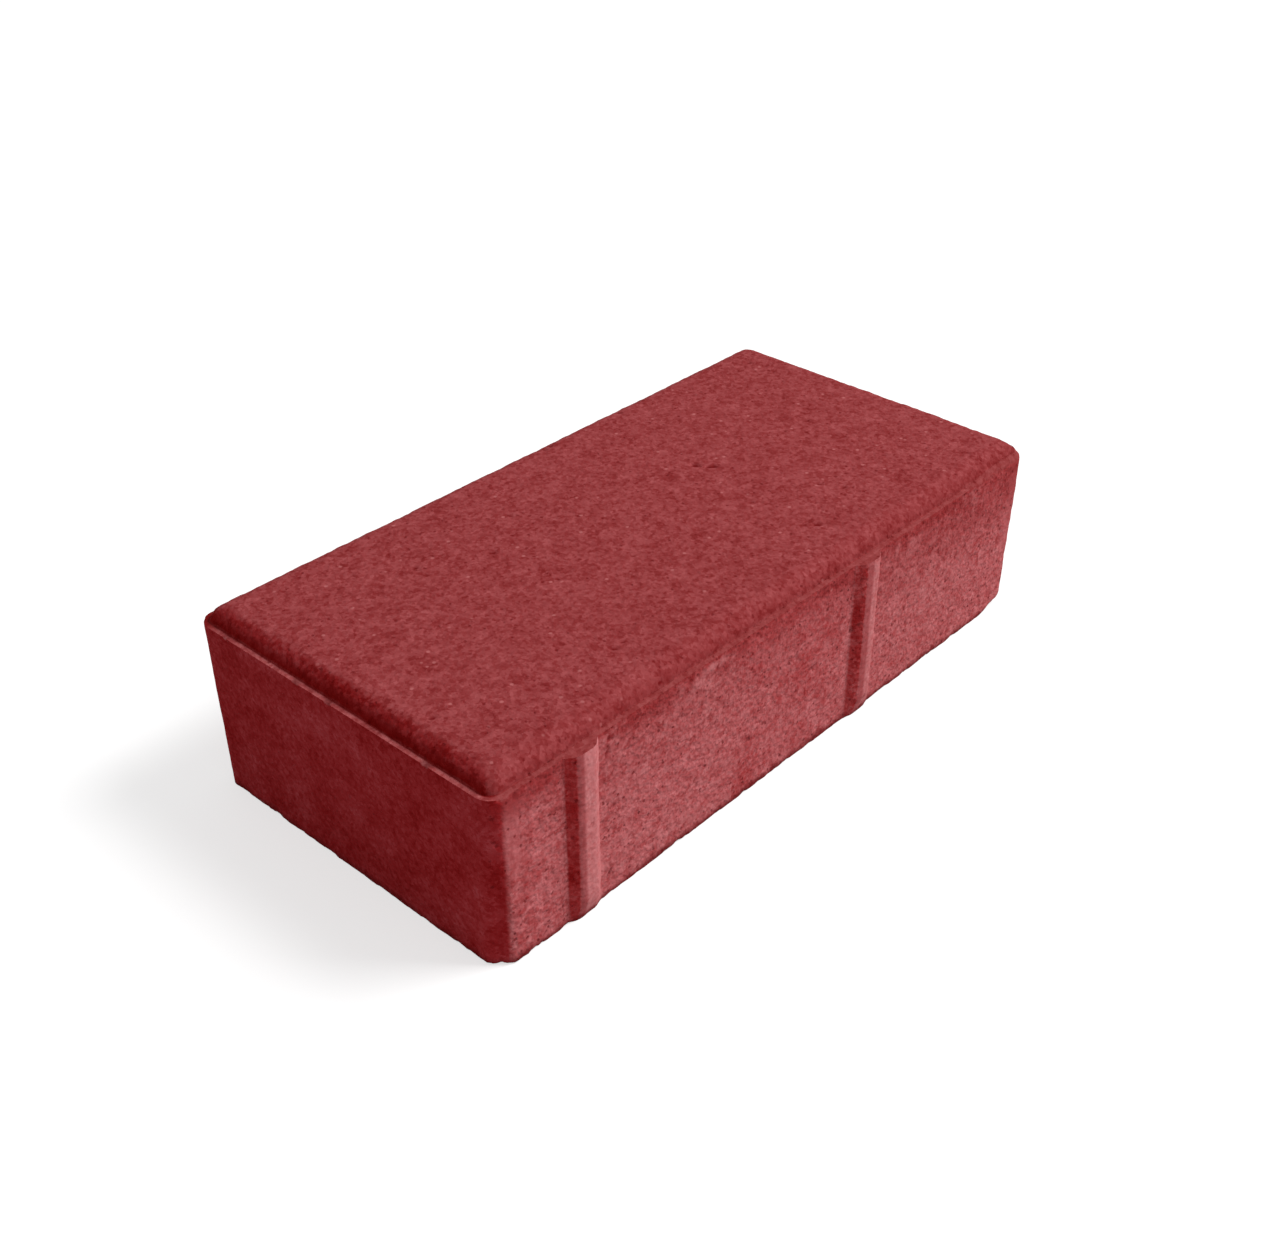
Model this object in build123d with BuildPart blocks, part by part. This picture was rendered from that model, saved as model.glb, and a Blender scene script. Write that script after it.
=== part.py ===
"""Rectangular paving stone of pressed concrete: one solid, in millimetres, +Z up.

The origin is at the middle of the bedding face, ribs left aside. The stone has plain vertical sides, a narrow
ledge all round where the press shoe met the mould wall, and a rounded shoulder from that ledge up to the wearing
face. Two spacer ribs on the front long side keep the joint open to the plain side of the next stone.
"""
from build123d import *
from math import asin, cos, sin
import os

# Body
LENGTH = 198.0
WIDTH = 98.0
THICKNESS = 50.0
CORNER_RADIUS = 4.5

# Rounded shoulder and the ledge at its foot
LEDGE_WIDTH = 1.4
SHOULDER_WIDTH = 5.2
SHOULDER_HEIGHT = 4.0
CROWN_CORNER_RADIUS = 1.5

# Spacer ribs on the front side
RIB_FOOT_WIDTH = 10.4
RIB_FRONT_WIDTH = 5.0
RIB_PROJECTION = 2.0
RIB_EDGE_RADIUS = 2.5
RIB_SPACING = 100.0
FIRST_RIB_FROM_END = 25.4

# The shoulder is an arc that leaves the wearing face level and comes down to the ledge
shoulder_radius = (SHOULDER_WIDTH**2 + SHOULDER_HEIGHT**2) / (2 * SHOULDER_HEIGHT)
foot_angle = asin(SHOULDER_WIDTH / shoulder_radius)
foot_corner_radius = CORNER_RADIUS - LEDGE_WIDTH
ledge_level = THICKNESS - SHOULDER_HEIGHT
shoulder_steps = [step / 6 for step in range(7)]

# Each rib is drawn on a plane at its foot, with the plane's y pointing out of the front side
first_rib_x = FIRST_RIB_FROM_END - LENGTH / 2
rib_places = (first_rib_x, first_rib_x + RIB_SPACING)
rib_planes = [Plane(origin=(x, -WIDTH / 2, 0), x_dir=(-1, 0, 0), z_dir=(0, 0, 1)) for x in rib_places]

# Crown: rounded rectangles at steps up the shoulder's arc, whose corners tighten towards the wearing face
with BuildPart() as crown:
    for step in shoulder_steps:
        angle = foot_angle * (1 - step)
        inset = LEDGE_WIDTH + SHOULDER_WIDTH - shoulder_radius * sin(angle)
        level = THICKNESS - shoulder_radius * (1 - cos(angle))
        with BuildSketch(Plane.XY.offset(level)):
            RectangleRounded(
                LENGTH - 2 * inset,
                WIDTH - 2 * inset,
                foot_corner_radius + (CROWN_CORNER_RADIUS - foot_corner_radius) * step,
            )
    loft()

# Stone: the straight-sided body with its ribs, and the crown on it
with BuildPart() as paving_stone:
    with BuildSketch():
        RectangleRounded(LENGTH, WIDTH, CORNER_RADIUS)
    extrude(amount=ledge_level)
    with BuildSketch(*rib_planes) as rib_section:
        with BuildLine():
            Polyline(
                (-RIB_FOOT_WIDTH / 2, 0),
                (-RIB_FRONT_WIDTH / 2, RIB_PROJECTION),
                (RIB_FRONT_WIDTH / 2, RIB_PROJECTION),
                (RIB_FOOT_WIDTH / 2, 0),
                close=True,
            )
        make_face()
        fillet(rib_section.vertices().group_by(Axis.Y)[-1], radius=RIB_EDGE_RADIUS)
    extrude(amount=ledge_level)
    add(crown.part)

paving_stone.part.label = "paving_stone"

os.makedirs("parts", exist_ok=True)
export_step(paving_stone.part, "parts/paving_stone.step")
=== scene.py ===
"""Looks of a pressed-concrete paving stone, laid out as an add-on and run as a script.

The block is cast from primitives at the frame's own sizes, cut into small cells, roughened as real relief and
given a red concrete finish. The stage is a pale floor under soft light, seen from the photograph's angle.
"""
import math
from collections import Counter

import bpy
from bpy.props import FloatProperty, FloatVectorProperty, PointerProperty
from mathutils import Matrix, Vector


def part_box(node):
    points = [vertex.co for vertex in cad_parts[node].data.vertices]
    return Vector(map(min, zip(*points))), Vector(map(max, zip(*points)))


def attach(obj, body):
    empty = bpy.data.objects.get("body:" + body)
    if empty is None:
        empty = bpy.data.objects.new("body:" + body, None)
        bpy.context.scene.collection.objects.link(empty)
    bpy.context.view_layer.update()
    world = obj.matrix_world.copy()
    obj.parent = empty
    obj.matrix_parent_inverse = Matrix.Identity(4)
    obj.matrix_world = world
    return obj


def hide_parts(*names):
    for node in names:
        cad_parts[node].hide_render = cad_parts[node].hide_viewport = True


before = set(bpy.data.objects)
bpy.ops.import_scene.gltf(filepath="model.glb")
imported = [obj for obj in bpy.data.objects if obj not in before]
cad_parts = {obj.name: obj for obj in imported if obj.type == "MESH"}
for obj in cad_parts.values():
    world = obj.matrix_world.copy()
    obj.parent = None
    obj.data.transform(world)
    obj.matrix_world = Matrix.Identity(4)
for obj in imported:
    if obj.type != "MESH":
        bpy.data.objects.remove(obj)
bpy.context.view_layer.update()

bl_info = {
    "name": "Paving Stone",
    "version": (1, 0, 0),
    "blender": (4, 5, 0),
    "location": "3D View > Sidebar > Paving",
    "description": "Casts a red concrete paving stone and sets it on a studio stage",
    "category": "Object",
}

NODE = "paving_stone"
PIECE = "paving_stone_cast"
MM = 0.001
PER_MM = 1000.0
PHOTO_WIDTH = 1270
STONE_LOW, STONE_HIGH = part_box(NODE)
TOLERANCE = 1e-6
TRIANGLE_LIMIT = 200000
# A face whose normal's z is past this counts as level
LEVEL_NORMAL = 0.99
CORNER_SEGMENTS = 8
SHOULDER_STEPS = 10
RIB_EDGE_SEGMENTS = 5
REMESH_DEPTH = 9
# Rim of small cells left round the underside, and how often the cells inside it are thinned
UNDERSIDE_RIM = 8 * MM
UNDERSIDE_THINNING = 4
SMOOTH_ANGLE = math.radians(60)
# A square's diagonal, in sides
DIAGONAL = 1.41
# How far each seed moves a noise on, in features
SEED_STRIDE = (7.31, 3.17, 5.93)
# Pores: cell in millimetres, seed, further share of cells with one on open faces, and radius in cells
PORES = ((3.6, 3, 0.14, 0.26), (2.4, 4, 0.12, 0.28))
# Share of cells with a pore on any face
LEAST_PORES = 0.02
# Share of the radius that is a pore's or a pit's floor
PORE_FLOOR = 0.35
PIT_FLOOR = 0.4
# Lengths in millimetres that count as nought and as out of reach
NOUGHT = 0.001
OUT_OF_REACH = 9.0
# Wide pits on the wearing face: place from the middle and radius, in millimetres
TOP_PITS = (((28.8, 8.4), 1.4), ((30.4, 5.2), 1.2), ((31.5, 4.1), 1.2))


class StoneShape(bpy.types.PropertyGroup):
    """Sizes of the stone's moulded form."""

    length: FloatProperty(
        name="Length", description="Body length along X", unit="LENGTH", default=STONE_HIGH.x - STONE_LOW.x
    )
    rear: FloatProperty(
        name="Rear side", description="Distance of the plain rear side from the middle", unit="LENGTH",
        default=STONE_HIGH.y,
    )
    thickness: FloatProperty(
        name="Thickness", description="Height of the wearing face", unit="LENGTH", default=STONE_HIGH.z
    )
    corner_radius: FloatProperty(
        name="Corner radius", description="Rounding of the upright corners", unit="LENGTH", default=4.5 * MM
    )
    ledge_width: FloatProperty(
        name="Ledge width", description="Flat rim left by the press shoe", unit="LENGTH", default=1.4 * MM
    )
    shoulder_width: FloatProperty(
        name="Shoulder width", description="Run of the rounded shoulder", unit="LENGTH", default=5.2 * MM
    )
    shoulder_height: FloatProperty(
        name="Shoulder height", description="Drop from the wearing face to the ledge", unit="LENGTH",
        default=4.0 * MM,
    )
    crown_corner_radius: FloatProperty(
        name="Crown corner", description="Rounding of the wearing face's corners", unit="LENGTH",
        default=1.5 * MM,
    )
    rib_foot_width: FloatProperty(
        name="Rib foot", description="Width of a spacer rib where it leaves the side", unit="LENGTH",
        default=10.4 * MM,
    )
    rib_front_width: FloatProperty(
        name="Rib front", description="Width of a spacer rib at its front", unit="LENGTH", default=5.0 * MM
    )
    rib_edge_radius: FloatProperty(
        name="Rib edge radius", description="Rounding of a rib's front edges", unit="LENGTH", default=2.5 * MM
    )
    rib_spacing: FloatProperty(
        name="Rib spacing", description="Distance between the ribs' middles", unit="LENGTH",
        default=100.0 * MM,
    )
    first_rib: FloatProperty(
        name="First rib", description="Middle of the first rib from the left end", unit="LENGTH",
        default=25.4 * MM,
    )
    cell: FloatProperty(
        name="Cell", description="Size of the mesh cells that carry the relief", unit="LENGTH",
        default=0.78 * MM,
    )

    @property
    def ledge_level(self):
        return self.thickness - self.shoulder_height

    @property
    def rib_projection(self):
        return -STONE_LOW.y - self.rear


class StoneRelief(bpy.types.PropertyGroup):
    """How rough the faces are, and how far the rims and corners are worn."""

    swell_size: FloatProperty(
        name="Swell size", description="Size of the slow swell of the faces", unit="LENGTH", default=24.0 * MM
    )
    swell_height: FloatProperty(
        name="Swell height", description="Height of the slow swell", unit="LENGTH", default=0.5 * MM
    )
    lump_size: FloatProperty(
        name="Lump size", description="Size of the small lumps", unit="LENGTH", default=2.6 * MM
    )
    lump_height: FloatProperty(
        name="Lump height", description="Least height of the lumps, on the ends", unit="LENGTH",
        default=0.18 * MM,
    )
    side_lumps: FloatProperty(
        name="Side lumps", description="Further height on the long sides and the underside", unit="LENGTH",
        default=0.30 * MM,
    )
    top_lumps: FloatProperty(
        name="Top lumps", description="Further height on faces that look up", unit="LENGTH", default=0.08 * MM
    )
    near_lumps: FloatProperty(
        name="Near lumps", description="Further height on the shoulder, front and left", unit="LENGTH",
        default=0.12 * MM,
    )
    far_lumps: FloatProperty(
        name="Far lumps", description="Further height on the shoulder, rear and right", unit="LENGTH",
        default=0.35 * MM,
    )
    pore_depth: FloatProperty(
        name="Pore depth", description="Depth of the pores in walls and underside", unit="LENGTH",
        default=0.4 * MM,
    )
    pit_depth: FloatProperty(
        name="Pit depth", description="Depth of pores and pits in faces that look up", unit="LENGTH",
        default=0.8 * MM,
    )
    rim_wear: FloatProperty(
        name="Rim wear", description="Least rounding of the bottom rim", unit="LENGTH", default=0.3 * MM
    )
    rim_chips: FloatProperty(
        name="Rim chips", description="Further rounding where the bottom rim is chipped", unit="LENGTH",
        default=0.9 * MM,
    )
    corner_wear: FloatProperty(
        name="Corner wear", description="Further rounding of the bottom rim at its corners", unit="LENGTH",
        default=1.0 * MM,
    )
    chipped_corner: FloatProperty(
        name="Chipped corner", description="Further rounding at the right front corner's foot", unit="LENGTH",
        default=3.5 * MM,
    )
    ledge_wear: FloatProperty(
        name="Ledge wear", description="Least rounding of the ledge's rim", unit="LENGTH", default=0.1 * MM
    )
    ledge_chips: FloatProperty(
        name="Ledge chips", description="Further rounding where the ledge's rim is chipped", unit="LENGTH",
        default=0.8 * MM,
    )
    ledge_crumble: FloatProperty(
        name="Ledge crumble", description="Further rounding on the left end and at the filled corner",
        unit="LENGTH", default=0.5 * MM,
    )
    ledge_fill: FloatProperty(
        name="Ledge fill", description="How far the ledge is filled up at the right front corner",
        unit="LENGTH", default=1.1 * MM,
    )
    corner_rub: FloatProperty(
        name="Corner rub", description="How far the upright corners are rubbed back at the bottom",
        unit="LENGTH", default=1.1 * MM,
    )
    rib_rub: FloatProperty(
        name="Rib rub", description="Share of a rib's projection that is worn off at its foot",
        subtype="FACTOR", default=0.6,
    )


class StoneFinish(bpy.types.PropertyGroup):
    """Colours of the dyed concrete, some of them painted shade or light, and how much open sand and grain
    each face shows.
    """

    paste: FloatVectorProperty(
        name="Paste", description="Cement paste rich in pigment", subtype="COLOR",
        default=(0.20, 0.017, 0.018),
    )
    sand: FloatVectorProperty(
        name="Sand", description="Dyed sand where it lies open", subtype="COLOR",
        default=(0.525, 0.1235, 0.1295),
    )
    # Partly the smooth face left by the mould, partly painted shade: a purer red for the left end, which lies
    # in shade
    skin: FloatVectorProperty(
        name="Skin", description="Smooth skin pressed against the mould", subtype="COLOR",
        default=(0.345, 0.019, 0.022),
    )
    # Painted shade: dark red for the end shoulders, where they turn away from the lamp
    shoulder: FloatVectorProperty(
        name="Shoulder", description="Film of paste over the end shoulders", subtype="COLOR",
        default=(0.25, 0.0145, 0.016),
    )
    # Painted shade: near black red for the crease at the shoulder's foot and other places in shade
    foot: FloatVectorProperty(
        name="Foot", description="Paste squeezed out at the shoulder's foot", subtype="COLOR",
        default=(0.20, 0.003, 0.003),
    )
    # Darker, purer red on the sides close under the ledge
    band: FloatVectorProperty(
        name="Band", description="Rich paste on the sides, close under the ledge", subtype="COLOR",
        default=(0.32, 0.037, 0.039),
    )
    # Partly the smooth face left by the mould, partly painted shade: a purer dark red for a rib's left side,
    # which turns away from the lamp
    shaded_flank: FloatVectorProperty(
        name="Flank", description="Smooth left flank of a rib", subtype="COLOR", default=(0.39, 0.034, 0.036)
    )
    # Partly rubbed pale, partly painted light: the right half of a rib's front stands in for a face turned to
    # the lamp
    rubbed: FloatVectorProperty(
        name="Rubbed", description="Pale rubbed front of a rib", subtype="COLOR", default=(0.60, 0.18, 0.185)
    )
    dust: FloatVectorProperty(
        name="Dust", description="Pale dust on the ledge", subtype="COLOR", default=(0.48, 0.12, 0.122)
    )
    # Painted shade: a darker red that damps the light the ledge's rounded rim catches from the lamp
    dimmed_lip: FloatVectorProperty(
        name="Lip", description="Worn lip of the ledge along the sides", subtype="COLOR",
        default=(0.275, 0.047, 0.047),
    )
    speck: FloatVectorProperty(
        name="Speck", description="Pale quartz grains", subtype="COLOR", default=(0.60, 0.20, 0.20)
    )
    pit: FloatVectorProperty(
        name="Pit", description="Dark open pores", subtype="COLOR", default=(0.16, 0.006, 0.007)
    )
    top_share: FloatProperty(
        name="Sand on top", description="Share of open sand on the wearing face", subtype="FACTOR",
        default=0.245,
    )
    # Partly painted light: the sides are paler than the top, and made lighter still because the lamp lights
    # the top more
    side_sand_and_light: FloatProperty(
        name="Sand on sides", description="Share of open sand low on the sides", subtype="FACTOR",
        default=0.90,
    )
    front_share: FloatProperty(
        name="Sand on ribs", description="Share of open sand on the ribs' fronts", subtype="FACTOR",
        default=0.62,
    )
    top_grain: FloatProperty(
        name="Top grain", description="Contrast of the grain on the wearing face", subtype="FACTOR",
        default=0.72,
    )
    skin_grain: FloatProperty(
        name="Skin grain", description="Contrast of the grain on the ends", subtype="FACTOR", default=0.9
    )
    worn_grain: FloatProperty(
        name="Worn grain", description="Contrast of the grain on the ribs' fronts and the ledge",
        subtype="FACTOR", default=0.5,
    )
    strip_grain: FloatProperty(
        name="Strip grain", description="Contrast of the grain in the smooth strips beside the corners",
        subtype="FACTOR", default=0.45,
    )
    roughness: FloatProperty(
        name="Roughness", description="How dull the concrete is", subtype="FACTOR", default=0.85
    )
    gloss: FloatProperty(
        name="Gloss", description="How strongly the concrete mirrors", subtype="FACTOR", default=0.04
    )
    bump: FloatProperty(
        name="Bump", description="How far single grains stand out", subtype="FACTOR", default=0.8
    )


class StudioStage(bpy.types.PropertyGroup):
    """Camera, light and floor."""

    azimuth: FloatProperty(
        name="Azimuth", description="Camera's turn about the stone", subtype="ANGLE",
        default=math.radians(-47.39),
    )
    elevation: FloatProperty(
        name="Elevation", description="Camera's height above the horizon", subtype="ANGLE",
        default=math.radians(34.12),
    )
    roll: FloatProperty(
        name="Roll", description="Camera's lean to one side", subtype="ANGLE", default=math.radians(-0.24)
    )
    distance: FloatProperty(
        name="Distance", description="From the camera to the stone's middle", unit="LENGTH",
        default=415.1 * MM,
    )
    slide: FloatVectorProperty(
        name="Slide", description="Camera's move to the right and up", size=2, unit="LENGTH",
        default=(-2.55 * MM, -7.69 * MM),
    )
    focal_pixels: FloatProperty(
        name="Focal length", description="In pixels of a frame as wide as the photograph", default=1620.5
    )
    nearest: FloatProperty(
        name="Nearest", description="Distance from which the camera sees", unit="LENGTH", default=10 * MM
    )
    key_place: FloatVectorProperty(
        name="Key place", description="Lamp in front on the right, above the stone", subtype="TRANSLATION",
        unit="LENGTH", default=(1.20, -1.00, 1.90),
    )
    key_size: FloatProperty(
        name="Key size", description="Width of the lamp's square face", unit="LENGTH", default=1.0
    )
    key_power: FloatProperty(
        name="Key power", description="Strength of the lamp", subtype="POWER", default=50.0
    )
    sky: FloatProperty(
        name="Sky", description="Strength of the even light from all round", default=0.42
    )
    floor_size: FloatProperty(
        name="Floor size", description="Width of the square floor", unit="LENGTH", default=8.0
    )
    floor_paint: FloatVectorProperty(
        name="Floor paint", description="Colour that takes the stone's shadow", subtype="COLOR",
        default=(0.5, 0.5, 0.5),
    )
    floor_glow: FloatProperty(
        name="Floor glow", description="White that is added to the floor near the stone", subtype="FACTOR",
        default=0.62,
    )
    glow_from: FloatProperty(
        name="Glow from", description="Distance from which the floor grows whiter", unit="LENGTH", default=0.5
    )
    glow_full: FloatProperty(
        name="Glow full", description="Distance at which the floor is white", unit="LENGTH", default=2.0
    )


def mm(length):
    """A length in millimetres, clear of single-precision noise."""
    return round(length * PER_MM, 4)


class Graph:
    """Adds nodes to a shader or geometry tree. An input is a plain value or another node's output."""

    def __init__(self, tree):
        self.tree = tree
        tree.nodes.clear()

    def add(self, kind, inputs=None, **settings):
        node = self.tree.nodes.new(kind)
        for name, value in settings.items():
            setattr(node, name, value)
        for key, value in (inputs or {}).items():
            if isinstance(value, bpy.types.NodeSocket):
                self.tree.links.new(value, node.inputs[key])
            else:
                node.inputs[key].default_value = value
        return node

    def math(self, operation, a, b=0.0, clamp=False):
        return self.add("ShaderNodeMath", {0: a, 1: b}, operation=operation, use_clamp=clamp).outputs[0]

    def plus(self, a, *rest):
        for b in rest:
            a = self.math("ADD", a, b)
        return a

    def minus(self, a, b):
        return self.math("SUBTRACT", a, b)

    def times(self, a, *rest):
        for b in rest:
            a = self.math("MULTIPLY", a, b)
        return a

    def most(self, a, *rest):
        for b in rest:
            a = self.math("MAXIMUM", a, b)
        return a

    def absolute(self, a):
        return self.math("ABSOLUTE", a)

    def rest(self, a):
        return self.minus(1.0, a)

    def lerp(self, factor, a, b):
        return self.add("ShaderNodeMix", {0: factor, 2: a, 3: b}, data_type="FLOAT").outputs[0]

    def paint(self, amount, under, colour):
        """Lays a colour over another; amount is how much of it covers."""
        inputs = {0: amount, 6: under, 7: (*colour, 1.0)}
        return self.add("ShaderNodeMix", inputs, data_type="RGBA").outputs[2]

    def vector(self, operation, a, b=(0.0, 0.0, 0.0)):
        return self.add("ShaderNodeVectorMath", {0: a, 1: b}, operation=operation).outputs[0]

    def scale(self, vector, factor):
        return self.add("ShaderNodeVectorMath", {0: vector, "Scale": factor}, operation="SCALE").outputs[0]

    def length(self, vector):
        return self.add("ShaderNodeVectorMath", {0: vector}, operation="LENGTH").outputs["Value"]

    def apart(self, place, spot):
        return self.length(self.vector("SUBTRACT", place, spot))

    def split(self, vector):
        return self.add("ShaderNodeSeparateXYZ", {0: vector}).outputs

    def ramp(self, value, low, high):
        """A smooth step from 0 at low to 1 at high."""
        inputs = {"Value": value, "From Min": low, "From Max": high}
        return self.add("ShaderNodeMapRange", inputs, interpolation_type="SMOOTHSTEP").outputs["Result"]

    def spread(self, value, low, high):
        """Takes a value from 0 to 1 to the range from low to high."""
        inputs = {"Value": value, "To Min": low, "To Max": high}
        return self.add("ShaderNodeMapRange", inputs).outputs["Result"]

    def facing(self, part):
        """1 on faces that look along an axis, by the part of their normal that lies along it."""
        return self.ramp(part, 0.5, 0.8)

    def scaled(self, place, size, seed):
        """Coordinates in which a feature of the given size is one unit, moved on by the seed."""
        sizes = size if isinstance(size, tuple) else (size,) * 3
        inputs = {0: place, 1: tuple(1.0 / s for s in sizes), 2: tuple(seed * s for s in SEED_STRIDE)}
        return self.add("ShaderNodeVectorMath", inputs, operation="MULTIPLY_ADD").outputs[0]

    def noise(self, place, size, seed, detail=2.0, roughness=0.5):
        inputs = {
            "Vector": self.scaled(place, size, seed),
            "Scale": 1.0,
            "Detail": detail,
            "Roughness": roughness,
        }
        return self.add("ShaderNodeTexNoise", inputs).outputs["Fac"]

    def uneven(self, place, size, seed, detail=2.0, roughness=0.5):
        """Noise about nought, from -0.5 to 0.5."""
        return self.minus(self.noise(place, size, seed, detail, roughness), 0.5)

    def stray(self, place, size, seed, reach):
        """Moves a place about by up to the reach, so that round cells come out ragged."""
        noise = self.add("ShaderNodeTexNoise", {"Vector": self.scaled(place, size, seed), "Scale": 1.0})
        return self.vector("ADD", place, self.scale(noise.outputs["Color"], reach))

    def cells(self, place, size, seed):
        """Distance from the nearest grain's middle, and that grain's own random number."""
        node = self.add("ShaderNodeTexVoronoi", {"Vector": self.scaled(place, size, seed), "Scale": 1.0})
        return node.outputs["Distance"], self.split(node.outputs["Color"])[0]


def only(piece):
    """Leaves one object selected and active."""
    bpy.ops.object.select_all(action="DESELECT")
    piece.select_set(True)
    bpy.context.view_layer.objects.active = piece


def block(name, low, high):
    """Adds a cube primitive that fills the box between two corners."""
    bpy.ops.object.select_all(action="DESELECT")
    bpy.ops.mesh.primitive_cube_add(size=1.0, location=[(a + b) / 2 for a, b in zip(low, high)])
    piece = bpy.context.object
    piece.name = name
    piece.scale = [b - a for a, b in zip(low, high)]
    bpy.ops.object.transform_apply(location=True, rotation=True, scale=True)
    return piece


def select_none(kind):
    """Sets what edit mode selects, with nothing selected, and leaves edit mode again."""
    bpy.ops.object.mode_set(mode="EDIT")
    bpy.ops.mesh.select_mode(type=kind)
    bpy.ops.mesh.select_all(action="DESELECT")
    bpy.ops.object.mode_set(mode="OBJECT")


def select_edges(piece, wanted):
    """Enters edit mode with just the wanted edges selected; wanted takes an edge's two ends."""
    select_none("EDGE")
    points = [v.co for v in piece.data.vertices]
    for edge in piece.data.edges:
        edge.select = wanted(*[points[i] for i in edge.vertices])
    bpy.ops.object.mode_set(mode="EDIT")


def select_faces(piece, wanted):
    """Enters edit mode with just the wanted faces selected."""
    select_none("FACE")
    for face in piece.data.polygons:
        face.select = wanted(face)
    bpy.ops.object.mode_set(mode="EDIT")


def select_corner(piece, quarter, level):
    """Enters edit mode with the points of one corner at one level selected."""
    select_none("VERT")
    for point in piece.data.vertices:
        in_quarter = point.co.x * quarter.x > 0 and point.co.y * quarter.y > 0
        point.select = in_quarter and point.co.z > level - TOLERANCE
    bpy.ops.object.mode_set(mode="EDIT")


def upright(a, b):
    return (a.xy - b.xy).length < TOLERANCE


def round_edges(piece, wanted, reach, segments):
    """Rounds the wanted edges; reach is how far the rounding runs back from an edge on each of its faces."""
    select_edges(piece, wanted)
    bpy.ops.mesh.bevel(offset=reach, segments=segments, affect="EDGES", offset_type="OFFSET")
    bpy.ops.object.mode_set(mode="OBJECT")


def cast_body(shape):
    half = shape.length / 2
    body = block(PIECE, (-half, -shape.rear, 0.0), (half, shape.rear, shape.ledge_level))
    round_edges(body, upright, shape.corner_radius, CORNER_SEGMENTS)
    return body


def cast_crown(shape):
    """The pressed top: its face is raised up the shoulder's arc as its corners are drawn in."""
    radius = (shape.shoulder_width**2 + shape.shoulder_height**2) / (2 * shape.shoulder_height)
    foot = math.asin(shape.shoulder_width / radius)
    x, y = shape.length / 2 - shape.ledge_width, shape.rear - shape.ledge_width
    level = shape.ledge_level
    corner = shape.corner_radius - shape.ledge_width
    crown = block("crown", (-x, -y, shape.thickness / 2), (x, y, level))
    round_edges(crown, upright, corner, CORNER_SEGMENTS)
    select_faces(crown, lambda face: face.normal.z > LEVEL_NORMAL)
    for step in range(1, SHOULDER_STEPS + 1):
        angle = foot * (1 - step / SHOULDER_STEPS)
        rise = shape.thickness - radius * (1 - math.cos(angle)) - level
        level += rise
        inset = shape.shoulder_width - radius * math.sin(angle) + shape.ledge_width
        bpy.ops.mesh.extrude_region_move(TRANSFORM_OT_translate={"value": (0.0, 0.0, rise)})
        tighter = corner + (shape.crown_corner_radius - corner) / (SHOULDER_STEPS - step + 1)
        shrink = tighter / corner
        before = Vector((x - corner, y - corner, 0.0))
        x, y = shape.length / 2 - inset, shape.rear - inset
        after = Vector((x - tighter, y - tighter, 0.0))
        for quarter in ((1, 1), (-1, 1), (-1, -1), (1, -1)):
            turn = Vector((*quarter, 1.0))
            select_corner(crown, turn, level)
            bpy.ops.transform.resize(value=(shrink, shrink, 1.0), center_override=before * turn)
            bpy.ops.transform.translate(value=(after - before) * turn)
        corner = tighter
        select_faces(crown, lambda face: face.normal.z > LEVEL_NORMAL and face.center.z > level - TOLERANCE)
    bpy.ops.object.mode_set(mode="OBJECT")
    return crown


def cast_rib(shape, x):
    """A spacer rib with slanted flanks, which starts as deep inside the body as it stands out of it."""
    out = shape.rib_projection
    root = shape.rib_foot_width * 2 - shape.rib_front_width
    side = -shape.rear
    rib = block("rib", (x - root / 2, side - out, 0.0), (x + root / 2, side + out, shape.ledge_level))
    select_edges(rib, lambda a, b: max(a.y, b.y) < side)
    bpy.ops.transform.resize(value=(shape.rib_front_width / root, 1.0, 1.0), center_override=(x, side, 0.0))
    bpy.ops.object.mode_set(mode="OBJECT")
    turn = math.atan2(out, (shape.rib_foot_width - shape.rib_front_width) / 2)
    reach = shape.rib_edge_radius * math.tan(turn / 2)
    round_edges(rib, lambda a, b: upright(a, b) and a.y < side, reach, RIB_EDGE_SEGMENTS)
    return rib


def apply_modifier(piece, kind, **settings):
    only(piece)
    modifier = piece.modifiers.new(kind, kind)
    for name, value in settings.items():
        setattr(modifier, name, value)
    bpy.ops.object.modifier_apply(modifier=modifier.name)


def cut_into_cells(piece, shape):
    """Covers the casting with small square faces that keep its edges, larger amid the underside."""
    share = max(piece.dimensions) / (shape.cell * 2**REMESH_DEPTH)
    apply_modifier(
        piece, "REMESH", mode="SHARP", octree_depth=REMESH_DEPTH, scale=share, use_remove_disconnected=False
    )
    only(piece)
    x, y = shape.length / 2 - UNDERSIDE_RIM, shape.rear - UNDERSIDE_RIM
    select_faces(piece, lambda f: f.normal.z < -LEVEL_NORMAL and abs(f.center.x) < x and abs(f.center.y) < y)
    bpy.ops.mesh.unsubdivide(iterations=UNDERSIDE_THINNING)
    bpy.ops.object.mode_set(mode="OBJECT")


class Outline:
    """Where a point lies from the body's sides, in millimetres, as nodes of a tree."""

    def __init__(self, g, shape, place):
        self.half = mm(shape.length / 2)
        self.rear = mm(shape.rear)
        self.level = mm(shape.ledge_level)
        radius = mm(shape.corner_radius)
        x, y, _ = g.split(place)
        flat = g.add("ShaderNodeCombineXYZ", {0: x, 1: y}).outputs[0]
        past = g.vector("SUBTRACT", g.vector("ABSOLUTE", flat), (self.half - radius, self.rear - radius, 0.0))
        past_x, past_y, _ = g.split(past)
        beyond = g.vector("MAXIMUM", past)
        beyond_x, beyond_y, _ = g.split(beyond)
        # Plan direction out of the nearest side
        self.out = g.vector("NORMALIZE", g.vector("MULTIPLY", beyond, g.vector("SIGN", flat)))
        # Distance in from the nearest side
        inside = g.math("MINIMUM", g.most(past_x, past_y), 0.0)
        self.depth = g.most(g.minus(radius, g.plus(g.length(beyond), inside)), 0.0)
        # 0 on a side to 1 at the middle of a corner's rounding
        self.corner = g.math("MULTIPLY", g.math("MINIMUM", beyond_x, beyond_y), DIAGONAL / radius, clamp=True)


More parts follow.
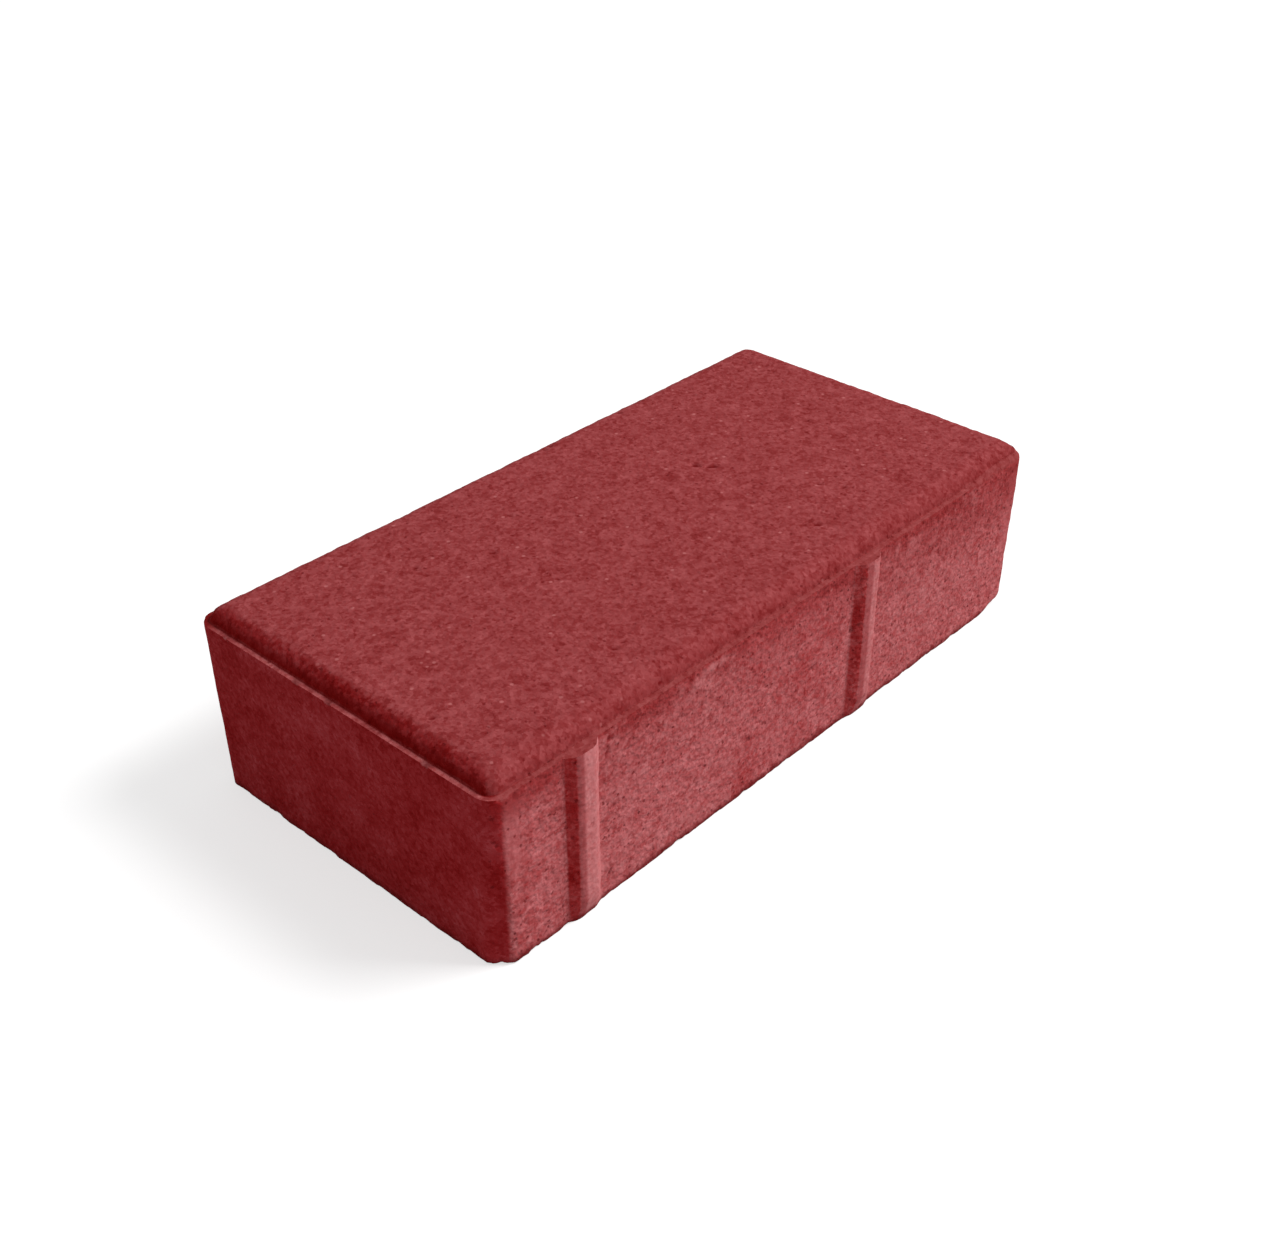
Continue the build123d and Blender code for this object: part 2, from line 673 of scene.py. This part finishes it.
class Casting:
    """What the relief is worked out from: places in millimetres and kinds of face, as nodes of a tree."""

    def __init__(self, g, shape):
        self.place = g.scale(g.add("GeometryNodeInputPosition").outputs[0], PER_MM)
        self.normal = g.add("GeometryNodeInputNormal").outputs[0]
        self.x, self.y, self.z = g.split(self.place)
        _, ny, nz = g.split(self.normal)
        self.sides = Outline(g, shape, self.place)
        level = self.sides.level
        self.top = g.facing(nz)
        self.shoulder = g.times(g.ramp(self.z, level, level + 0.5), g.ramp(nz, 1.0, 0.9))
        # The long sides and the underside are open faces, with more lumps and pores
        open_face = g.most(g.facing(g.absolute(ny)), g.facing(g.times(nz, -1.0)))
        self.open_face = g.times(open_face, g.ramp(self.z, level, level - 0.5))


def lumpy_height(g, at, relief):
    """Height of the slow swell and of the lumps, which are highest on the open faces."""
    side_lumps = g.times(at.open_face, mm(relief.side_lumps))
    lump = g.plus(mm(relief.lump_height), side_lumps, g.times(at.top, mm(relief.top_lumps)))
    half, rear = at.sides.half, at.sides.rear
    far = g.most(g.ramp(at.y, rear - 10.0, rear - 7.0), g.ramp(at.x, half - 10.0, half - 7.0))
    lump = g.plus(lump, g.times(at.shoulder, g.lerp(far, mm(relief.near_lumps), mm(relief.far_lumps))))
    swell = g.times(g.uneven(at.place, mm(relief.swell_size), seed=1), mm(relief.swell_height))
    return g.plus(swell, g.times(g.uneven(at.place, mm(relief.lump_size), seed=2, detail=3.0), lump))


def pore_mask(g, at, shape):
    """1 in the middle of a pore. Open faces hold more of them, and the wearing face has wide pits."""
    pores = 0.0
    strayed = g.stray(at.place, size=1.6, seed=7, reach=1.6)
    for cell, seed, share, radius in PORES:
        distance, chance = g.cells(strayed, cell, seed)
        held = g.math("LESS_THAN", chance, g.plus(LEAST_PORES, g.times(at.open_face, share)))
        pores = g.most(pores, g.times(held, g.ramp(distance, radius, radius * PORE_FLOOR)))
    strayed = g.stray(at.place, size=1.2, seed=8, reach=0.9)
    for spot, radius in TOP_PITS:
        distance = g.apart(strayed, (*spot, mm(shape.thickness)))
        pores = g.most(pores, g.ramp(distance, radius, radius * PIT_FLOOR))
    return pores


def worn_rim(g, sides, radius, along, upward):
    """Rounds a rim; along is the distance from it on a side, and upward is the way to the rounding."""
    a = g.most(g.minus(radius, sides.depth), 0.0)
    b = g.most(g.minus(radius, along), 0.0)
    reach = g.most(g.math("SQRT", g.plus(g.times(a, a), g.times(b, b))), NOUGHT)
    short = g.math("DIVIDE", g.most(g.minus(reach, radius), 0.0), reach)
    way = g.vector("SUBTRACT", g.scale((0.0, 0.0, upward), b), g.scale(sides.out, a))
    return g.scale(way, short)


def worn_bottom(g, at, relief):
    """The bottom rim is nibbled all along, rounder at its corners and most at the right front one."""
    chips = g.ramp(g.noise(at.place, size=4.2, seed=5, detail=4.0), 0.48, 0.72)
    corner = g.apart(at.place, (at.sides.half, -at.sides.rear, 0.0))
    radius = g.plus(
        mm(relief.rim_wear),
        g.times(chips, mm(relief.rim_chips)),
        g.times(at.sides.corner, mm(relief.corner_wear)),
        g.times(g.ramp(corner, 15.0, 4.0), mm(relief.chipped_corner)),
    )
    return worn_rim(g, at.sides, radius, at.z, 1.0)


def worn_ledge(g, at, relief):
    """The ledge's rim is chipped, more so on the left end, and the ledge is filled up at one corner."""
    half, rear, level = at.sides.half, at.sides.rear, at.sides.level
    filled = g.ramp(g.apart(at.place, (half, -rear, level)), 30.0, 12.0)
    chips = g.ramp(g.noise(at.place, size=3.4, seed=6, detail=3.0), 0.45, 0.75)
    chewed = g.ramp(g.noise(at.place, size=5.0, seed=9), 0.44, 0.64)
    chewed = g.times(g.ramp(at.x, 5.0 - half, 3.0 - half), chewed)
    radius = g.plus(
        mm(relief.ledge_wear),
        g.times(chips, mm(relief.ledge_chips)),
        g.times(filled, mm(relief.ledge_crumble)),
        g.times(chewed, mm(relief.ledge_crumble)),
    )
    # The shoulder above the ledge stays out of the rounding's reach
    away = g.absolute(g.minus(at.z, level))
    below = g.plus(away, g.times(g.math("GREATER_THAN", at.z, level + 0.3), OUT_OF_REACH))
    fill = g.times(filled, g.ramp(at.sides.depth, 0.1, 1.4), g.ramp(away, 1.4, 0.2))
    raised = g.scale((0.0, 0.0, mm(relief.ledge_fill)), fill)
    return g.vector("ADD", worn_rim(g, at.sides, radius, below, -1.0), raised)


def rubbed_edges(g, at, relief):
    """The upright corners are rubbed rounder towards the bottom, and the ribs are worn at their feet."""
    rub = g.times(at.sides.corner, g.ramp(at.z, at.sides.level, 0.0), -mm(relief.corner_rub))
    proud = g.most(g.minus(g.times(at.y, -1.0), at.sides.rear), 0.0)
    foot = g.scale((0.0, relief.rib_rub, 0.0), g.times(proud, g.ramp(at.z, 6.0, 0.0)))
    return g.vector("ADD", g.scale(at.sides.out, rub), foot)


def relief_tree(shape, relief):
    """Node tree that roughens the casting, wears its rims and marks its pores for the finish."""
    tree = bpy.data.node_groups.new("stone_relief", "GeometryNodeTree")
    tree.interface.new_socket("Stone", in_out="INPUT", socket_type="NodeSocketGeometry")
    tree.interface.new_socket("Stone", in_out="OUTPUT", socket_type="NodeSocketGeometry")
    g = Graph(tree)
    start = g.add("NodeGroupInput").outputs[0]
    at = Casting(g, shape)
    pores = pore_mask(g, at, shape)
    dent = g.times(pores, g.lerp(at.top, mm(relief.pore_depth), mm(relief.pit_depth)))
    move = g.scale(at.normal, g.minus(lumpy_height(g, at, relief), dent))
    for wear in (worn_bottom, worn_ledge, rubbed_edges):
        move = g.vector("ADD", move, wear(g, at, relief))

    # Nothing goes below the ground, and nothing comes near the lower limits in x and y
    limit = -mm(shape.length)
    ended = g.vector("MAXIMUM", g.vector("ADD", at.place, move), (limit, limit, 0.0))
    marked = g.add("GeometryNodeStoreNamedAttribute", {"Geometry": start, "Name": "pore", "Value": pores})
    moved = g.add("GeometryNodeSetPosition", {"Geometry": marked.outputs[0], "Position": g.scale(ended, MM)})
    g.add("NodeGroupOutput", {0: moved.outputs[0]})
    return tree


class Places:
    """Where on the stone a point lies: masks as nodes of a shader tree, 1 inside a place and 0 outside it.

    Places and distances are in millimetres.
    """

    def __init__(self, g, shape):
        self.place = g.scale(g.add("ShaderNodeTexCoord").outputs["Object"], PER_MM)
        self.x, self.y, self.z = g.split(self.place)
        self.nz = g.split(g.add("ShaderNodeNewGeometry").outputs["Normal"])[2]
        self.sides = Outline(g, shape, self.place)
        self.out_x = g.absolute(g.split(self.sides.out)[0])
        self.mottle = g.uneven(self.place, size=5.0, seed=11, detail=3.0, roughness=0.6)
        self.wobble = g.uneven(self.place, size=11.0, seed=12, detail=3.0)
        # Painted shade: the purer red of the ends' smooth mould face and shoulders is full on the left end,
        # which lies in shade, and the right end, which doesn't show, is more like the sides
        self.end_shade_share = g.spread(g.ramp(self.x, 20.0, -20.0), 0.3, 1.0)
        self.find_faces(g)
        self.find_bands(g)
        self.find_shoulder(g)
        self.find_ribs(g, shape)
        self.find_strips(g)
        # All places with painted shade: the left end, the end shoulders and the ribs' left flanks
        self.skin = g.most(self.end, self.dull, self.shaded_flank)

    def wavering(self, g, value, reach):
        """A place's coordinate with an uneven line to it, off by up to half the reach."""
        return g.plus(value, g.times(self.wobble, reach))

    def find_faces(self, g):
        """The crown, the walls, the ends with their corners, and the ledge."""
        level = self.sides.level
        self.crown = g.times(g.ramp(self.sides.depth, 1.25, 1.6), g.ramp(self.z, level - 1.0, level - 0.5))
        self.wall = g.times(g.ramp(self.nz, 0.7, 0.4), g.ramp(self.z, level + 0.25, level + 0.05))
        # Painted shade: the end's purer red wraps round the upright corners about as far as their shade
        # reaches
        self.end = g.times(self.wall, g.ramp(self.wavering(g, self.out_x, 0.12), 0.10, 0.42), self.end_shade_share)
        self.ledge = g.times(g.rest(self.wall), g.rest(self.crown), g.ramp(self.z, level - 0.7, level - 0.35))

    def find_bands(self, g):
        """The darker band on the walls below the ledge, and the dark rim at their foot, which is painted
        shade.
        """
        level = self.sides.level
        self.fall = self.wavering(g, self.z, 9.0)
        rightward = g.spread(g.ramp(self.x, 10.0, 60.0), 0.36, 0.78)
        wide_band = g.times(g.ramp(self.fall, level - 24.0, level - 6.0), rightward, g.ramp(self.x, -90.0, -70.0))
        near = g.ramp(self.wavering(g, self.z, 5.0), level - 10.0, level - 1.5)
        self.band = g.times(self.wall, g.most(near, wide_band))
        # Painted shade: the walls darken towards the floor along their foot
        self.rim = g.times(self.wall, g.ramp(g.plus(self.z, g.times(self.mottle, 3.0)), 2.6, 0.4))

    def find_shoulder(self, g):
        """Painted shade on the shoulder: its dull part, where it turns away from the lamp, and its dark foot
        in the crease above the ledge, further up at the ends than along the sides.
        """
        half, rear, level = self.sides.half, self.sides.rear, self.sides.level
        from_end = g.minus(half, g.absolute(self.x))
        from_side = g.minus(rear, g.absolute(self.y))
        endward = g.times(g.ramp(g.minus(from_side, from_end), 0.0, 2.0), self.end_shade_share)
        deep = g.plus(self.sides.depth, g.times(self.mottle, 0.8))
        # Painted shade on the end shoulders, mostly on the left one, which turns away from the lamp
        self.dull = g.times(self.crown, endward, g.ramp(deep, 5.9, 3.4))
        # Painted shade in the crease at the shoulder's foot, full at the ends and weak along the sides
        foot = g.lerp(endward, g.times(g.ramp(deep, 3.8, 1.7), 0.25), g.ramp(deep, 3.1, 1.5))
        self.foot = g.times(self.crown, foot)
        # Painted shade: shoulder and ledge are darkened round the left rear corner
        corner = g.times(g.ramp(self.x, 13.0 - half, 4.0 - half), g.ramp(self.y, rear - 9.0, rear - 3.0))
        self.corner_shade = g.times(corner, g.rest(self.wall), g.ramp(self.z, level + 3.8, level + 2.0))

    def find_ribs(self, g, shape):
        """The ribs' left flanks, dark with painted shade, and their fronts, by the distance across from each
        rib's middle.
        """
        first = mm(shape.first_rib - shape.length / 2)
        reach = mm(shape.rib_spacing) / 2
        from_first = {0: g.minus(self.x, first), 1: reach, 2: -reach}
        self.across = g.add("ShaderNodeMath", from_first, operation="WRAP").outputs[0]
        self.second = g.ramp(self.x, -30.0, 0.0)
        rear = self.sides.rear
        self.proud = g.ramp(g.times(self.y, -1.0), rear - 0.05, rear + 0.3)
        # Painted shade on the ribs' left flanks, a little wider on the second rib
        left = g.ramp(g.minus(self.across, g.times(self.second, 0.6)), -2.5, -3.1)
        self.shaded_flank = g.times(self.proud, self.wall, left)
        self.front = g.times(self.proud, self.wall, g.rest(self.shaded_flank))

    def find_strips(self, g):
        """The rubbed strips next to the corners of the long sides, and their smoother outer part."""
        rubbed = g.ramp(g.absolute(self.wavering(g, self.x, 6.0)), 78.0, 88.0)
        self.rubbed = g.times(rubbed, self.wall, g.rest(self.end), g.rest(self.proud))
        strip = g.ramp(g.absolute(self.wavering(g, self.x, 4.0)), 88.0, 94.0)
        self.strip = g.times(strip, self.rubbed, g.ramp(self.fall, 12.0, 30.0))


def open_sand(g, at, finish):
    """Share of pale sand that lies open, and the contrast of the grain."""
    contrast = g.lerp(at.wall, finish.top_grain, 1.0)
    contrast = g.lerp(at.end, contrast, finish.skin_grain)
    contrast = g.lerp(g.most(at.front, at.ledge), contrast, finish.worn_grain)
    contrast = g.lerp(at.strip, contrast, finish.strip_grain)
    streak = g.uneven(at.place, size=(1.3, 1.3, 60.0), seed=17)
    # Partly painted light: the sides are paler, and lighter still to make up for the lamp lighting the top
    # more
    share = g.lerp(at.wall, finish.top_share, finish.side_sand_and_light)
    share = g.plus(share, g.times(at.rubbed, streak, 0.9))
    share = g.lerp(at.front, share, finish.front_share)
    share = g.most(g.plus(share, g.times(at.mottle, contrast, 0.3)), 0.0)
    return share, contrast


def colour_ledge(g, at, finish, colour):
    """Dust on the ledge, thick on the left end, with painted shade along its inner edge under the shoulder
    and on its rounded rim along the sides.
    """
    level, rear = at.sides.level, at.sides.rear
    broken = g.times(g.ramp(g.noise(at.place, size=5.0, seed=18, detail=3.0), 0.42, 0.6), 0.35)
    patchy = g.spread(g.ramp(g.noise(at.place, size=4.0, seed=22, detail=3.0), 0.4, 0.58), 0.1, 0.58)
    leftward = g.times(g.ramp(at.out_x, 0.2, 0.6), g.ramp(at.x, 60.0, -60.0))
    thick = g.times(leftward, g.ramp(at.y, rear - 1.0, rear - 8.0))
    dusty = g.times(at.ledge, g.rest(at.proud), g.lerp(thick, broken, patchy))
    colour = g.paint(dusty, colour, finish.dust)
    # Painted shade along the ledge's inner edge, under the shoulder
    inner = g.times(at.ledge, thick, g.ramp(at.sides.depth, 1.0, 1.4))
    colour = g.paint(inner, colour, finish.foot)
    # Painted shade on the ledge's rounded rim along the sides, to damp the light it catches
    dimmed_lip = g.times(g.ramp(at.z, level - 1.8, level - 0.8), g.ramp(at.nz, 0.1, 0.4))
    dimmed_lip = g.times(dimmed_lip, g.rest(at.crown), g.rest(thick))
    return g.paint(g.times(dimmed_lip, 0.7), colour, finish.dimmed_lip)


def colour_places(g, at, finish, share):
    """Paste and sand mixed by the share of open sand, and over them the colours of single places, many of
    them painted shade.
    """
    paste, sand = Vector(finish.paste), Vector(finish.sand)
    colour = g.vector("ADD", g.scale(tuple(sand - paste), share), tuple(paste))
    colour = g.paint(g.times(at.band, g.rest(at.proud)), colour, finish.band)
    # Painted shade on the left end, over the purer red of its mould face
    colour = g.paint(at.end, colour, finish.skin)
    # Painted shade on the end shoulders
    colour = g.paint(at.dull, colour, finish.shoulder)
    # The second rib's painted shade on its left side and its front are a little weaker in colour, and its
    # pale strip is narrower
    colour = g.paint(g.times(at.shaded_flank, g.spread(at.second, 1.0, 0.88)), colour, finish.shaded_flank)
    # Rubbed pale front, and painted light on its right half, where the rib turns to the lamp
    pale = g.ramp(g.minus(at.across, g.times(at.second, 1.2)), -1.5, -0.5)
    colour = g.paint(g.times(at.front, pale, g.spread(at.second, 1.0, 0.8)), colour, finish.rubbed)
    # Painted shade in the crease at the shoulder's foot, and a weaker dark red on the ledge over the ribs
    colour = g.paint(g.most(at.foot, g.times(at.ledge, at.proud, 0.4)), colour, finish.foot)
    colour = colour_ledge(g, at, finish, colour)
    # Painted shade along the walls' foot, in the pores' colour
    colour = g.paint(g.times(at.rim, 0.85), colour, finish.pit)
    # Painted shade round the left rear corner
    return g.paint(g.times(at.corner_shade, 0.85), colour, finish.foot)


def grained(g, at, colour, contrast):
    """Grains of two sizes. Where it is darker the paste is also purer in colour."""
    ragged = g.stray(at.place, size=0.6, seed=23, reach=0.6)
    _, fine = g.cells(ragged, size=0.8, seed=13)
    _, coarse = g.cells(ragged, size=1.4, seed=14)
    fine = g.times(g.minus(fine, 0.5), g.lerp(at.wall, 0.42, 0.26))
    coarse = g.times(g.minus(coarse, 0.5), g.lerp(at.wall, 0.30, 0.17))
    shade = g.plus(fine, coarse, g.times(at.mottle, 0.35), g.times(at.wobble, at.skin, 0.8))
    shade = g.most(g.plus(1.0, g.times(shade, contrast)), 0.2)
    # Where shade is painted, darker grains turn purer red still
    purity = g.lerp(at.skin, g.lerp(g.ramp(shade, 0.9, 1.2), 2.8, 2.1), 4.0)
    purer = g.math("POWER", shade, purity)
    shades = g.add("ShaderNodeCombineXYZ", {0: shade, 1: purer, 2: purer}).outputs[0]
    return g.vector("MULTIPLY", colour, shades)


def speckled(g, at, finish, colour):
    """Single pale quartz grains."""
    distance, chance = g.cells(at.place, size=1.9, seed=15)
    speck = g.times(g.math("GREATER_THAN", chance, 0.94), g.ramp(distance, 0.34, 0.12))
    speck = g.times(speck, g.rest(at.skin), g.rest(at.foot))
    return g.paint(g.times(speck, 0.45), colour, finish.speck)


def dark_spots(g, at):
    """Small gaps between grains: most on the long sides, and none on the ribs' fronts."""
    strayed = g.stray(at.place, size=0.9, seed=19, reach=0.9)
    distance, chance = g.cells(strayed, size=1.6, seed=16)
    held = g.math("LESS_THAN", chance, g.lerp(at.wall, 0.10, g.lerp(at.end, 0.26, 0.12)))
    return g.times(held, g.ramp(distance, 0.34, 0.14), g.rest(at.front))


def red_concrete(shape, finish):
    """Dyed concrete. How much pale sand shows through the red paste depends on how each face was formed, and
    some places carry painted shade or light in their colour.
    """
    material = bpy.data.materials.new("dyed_concrete")
    material.use_nodes = True
    g = Graph(material.node_tree)
    at = Places(g, shape)
    share, contrast = open_sand(g, at, finish)
    colour = colour_places(g, at, finish, share)
    colour = grained(g, at, colour, contrast)
    colour = speckled(g, at, finish, colour)
    spot = dark_spots(g, at)
    pore = g.ramp(g.add("ShaderNodeAttribute", attribute_name="pore").outputs["Fac"], 0.1, 0.7)
    hole = g.most(g.times(spot, 0.7), g.times(pore, g.lerp(at.wall, 0.9, 0.45)))
    colour = g.paint(hole, colour, finish.pit)

    # Sand grains stand out of the paste
    height = g.times(g.uneven(at.place, size=1.25, seed=21, detail=1.0), g.lerp(at.wall, 0.5, 0.70))
    height = g.times(g.minus(height, g.times(spot, 0.15)), contrast)
    bump = g.add("ShaderNodeBump", {"Strength": finish.bump, "Distance": MM, "Height": height})
    surface = g.add(
        "ShaderNodeBsdfPrincipled",
        {
            "Base Color": colour,
            "Roughness": finish.roughness,
            "Specular IOR Level": finish.gloss,
            "Normal": bump.outputs[0],
        },
    )
    g.add("ShaderNodeOutputMaterial", {"Surface": surface.outputs[0]})
    return material


def check_casting(stone):
    """Raises an error unless the casting is closed and has few enough triangles."""
    uses = Counter(key for face in stone.data.polygons for key in face.edge_keys)
    loose = sum(count != 2 for count in uses.values())
    if loose:
        raise RuntimeError(f"the casting has {loose} open edges")
    stone.data.calc_loop_triangles()
    triangles = len(stone.data.loop_triangles)
    if triangles >= TRIANGLE_LIMIT:
        raise RuntimeError(f"the casting has {triangles} triangles")


class CastPavingStone(bpy.types.Operator):
    """Casts the stone, roughens it and gives it its red concrete finish"""

    bl_idname = "object.cast_paving_stone"
    bl_label = "Cast Paving Stone"

    def execute(self, context):
        shape = context.scene.stone_shape
        stone = cast_body(shape)
        first = shape.first_rib - shape.length / 2
        additions = [cast_crown(shape), cast_rib(shape, first), cast_rib(shape, first + shape.rib_spacing)]
        for addition in additions:
            apply_modifier(stone, "BOOLEAN", operation="UNION", object=addition, solver="EXACT")
            bpy.data.objects.remove(addition)
        cut_into_cells(stone, shape)
        apply_modifier(stone, "NODES", node_group=relief_tree(shape, context.scene.stone_relief))
        check_casting(stone)
        bpy.ops.object.shade_smooth_by_angle(angle=SMOOTH_ANGLE)
        stone.data.materials.clear()
        stone.data.materials.append(red_concrete(shape, context.scene.stone_finish))
        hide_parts(NODE)
        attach(stone, "root")
        return {"FINISHED"}


def shown(g):
    """1 for rays that show a thing in the picture: straight to the camera, mirrored or let through."""
    rays = g.add("ShaderNodeLightPath").outputs
    return g.most(rays["Is Camera Ray"], rays["Is Glossy Ray"], rays["Is Transmission Ray"])


def lay_floor(stage):
    """A grey floor that takes the shadow, with enough white added for the picture to make it pale."""
    bpy.ops.object.select_all(action="DESELECT")
    bpy.ops.mesh.primitive_plane_add(size=stage.floor_size)
    floor = bpy.context.object
    floor.name = "floor"
    material = bpy.data.materials.new("pale_floor")
    material.use_nodes = True
    g = Graph(material.node_tree)
    paint = g.add("ShaderNodeBsdfDiffuse", {"Color": (*stage.floor_paint, 1.0)})
    away = g.length(g.add("ShaderNodeTexCoord").outputs["Object"])
    level = g.spread(g.ramp(away, stage.glow_from, stage.glow_full), stage.floor_glow, 1.0)
    glow = g.add("ShaderNodeEmission", {"Strength": g.times(shown(g), level)})
    both = g.add("ShaderNodeAddShader", {0: paint.outputs[0], 1: glow.outputs[0]})
    g.add("ShaderNodeOutputMaterial", {"Surface": both.outputs[0]})
    floor.data.materials.append(material)


def hang_sky(scene, stage):
    """Even white light from all round, which the picture shows as a white backdrop."""
    world = bpy.data.worlds.new("even_sky")
    world.use_nodes = True
    scene.world = world
    g = Graph(world.node_tree)
    strength = g.spread(shown(g), stage.sky, 1.0)
    sky = g.add("ShaderNodeBackground", {"Color": (1.0, 1.0, 1.0, 1.0), "Strength": strength})
    g.add("ShaderNodeOutputWorld", {"Surface": sky.outputs[0]})


def hang_key_lamp(stage):
    place = Vector(stage.key_place)
    turn = (-place).to_track_quat("-Z", "Y").to_euler()
    bpy.ops.object.light_add(type="AREA", location=place, rotation=turn)
    lamp = bpy.context.object
    lamp.name = "key_lamp"
    lamp.data.size = stage.key_size
    lamp.data.energy = stage.key_power


def add_camera(stage, middle):
    bpy.ops.object.camera_add()
    camera = bpy.context.object
    turn, rise = stage.azimuth, stage.elevation
    back = Vector((math.sin(turn) * math.cos(rise), -math.cos(turn) * math.cos(rise), math.sin(rise)))
    aim = (-back).to_track_quat("-Z", "Y").to_matrix()
    place = middle + back * stage.distance + aim @ Vector((*stage.slide, 0.0))
    camera.matrix_world = Matrix.Translation(place) @ (aim @ Matrix.Rotation(stage.roll, 3, "Z")).to_4x4()
    camera.data.lens = stage.focal_pixels / PHOTO_WIDTH * camera.data.sensor_width
    camera.data.clip_start = stage.nearest
    bpy.context.scene.camera = camera


class SetPavingStage(bpy.types.Operator):
    """Lays the floor, lights the stone and places the camera"""

    bl_idname = "scene.set_paving_stage"
    bl_label = "Set Stage"

    def execute(self, context):
        scene = context.scene
        stage = scene.studio_stage
        lay_floor(stage)
        hang_sky(scene, stage)
        hang_key_lamp(stage)
        add_camera(stage, Vector((0.0, 0.0, scene.stone_shape.thickness / 2)))
        scene.view_settings.view_transform = "Standard"
        return {"FINISHED"}


class PavingPanel(bpy.types.Panel):
    """Lists the stone's sizes, relief and finish, the stage, and the steps that make them"""

    bl_idname = "VIEW3D_PT_paving_stone"
    bl_label = "Paving Stone"
    bl_space_type = "VIEW_3D"
    bl_region_type = "UI"
    bl_category = "Paving"

    def draw(self, context):
        scene = context.scene
        for group in (scene.stone_shape, scene.stone_relief, scene.stone_finish, scene.studio_stage):
            box = self.layout.box()
            for name in group.__annotations__:
                box.prop(group, name)
        for operator in (CastPavingStone, SetPavingStage):
            self.layout.operator(operator.bl_idname)


CLASSES = (StoneShape, StoneRelief, StoneFinish, StudioStage, CastPavingStone, SetPavingStage, PavingPanel)


def register():
    for item in CLASSES:
        bpy.utils.register_class(item)
    bpy.types.Scene.stone_shape = PointerProperty(type=StoneShape)
    bpy.types.Scene.stone_relief = PointerProperty(type=StoneRelief)
    bpy.types.Scene.stone_finish = PointerProperty(type=StoneFinish)
    bpy.types.Scene.studio_stage = PointerProperty(type=StudioStage)


def unregister():
    del bpy.types.Scene.studio_stage
    del bpy.types.Scene.stone_finish
    del bpy.types.Scene.stone_relief
    del bpy.types.Scene.stone_shape
    for item in reversed(CLASSES):
        bpy.utils.unregister_class(item)


def main():
    register()
    bpy.ops.object.cast_paving_stone()
    bpy.ops.scene.set_paving_stage()


if __name__ == "__main__":
    main()
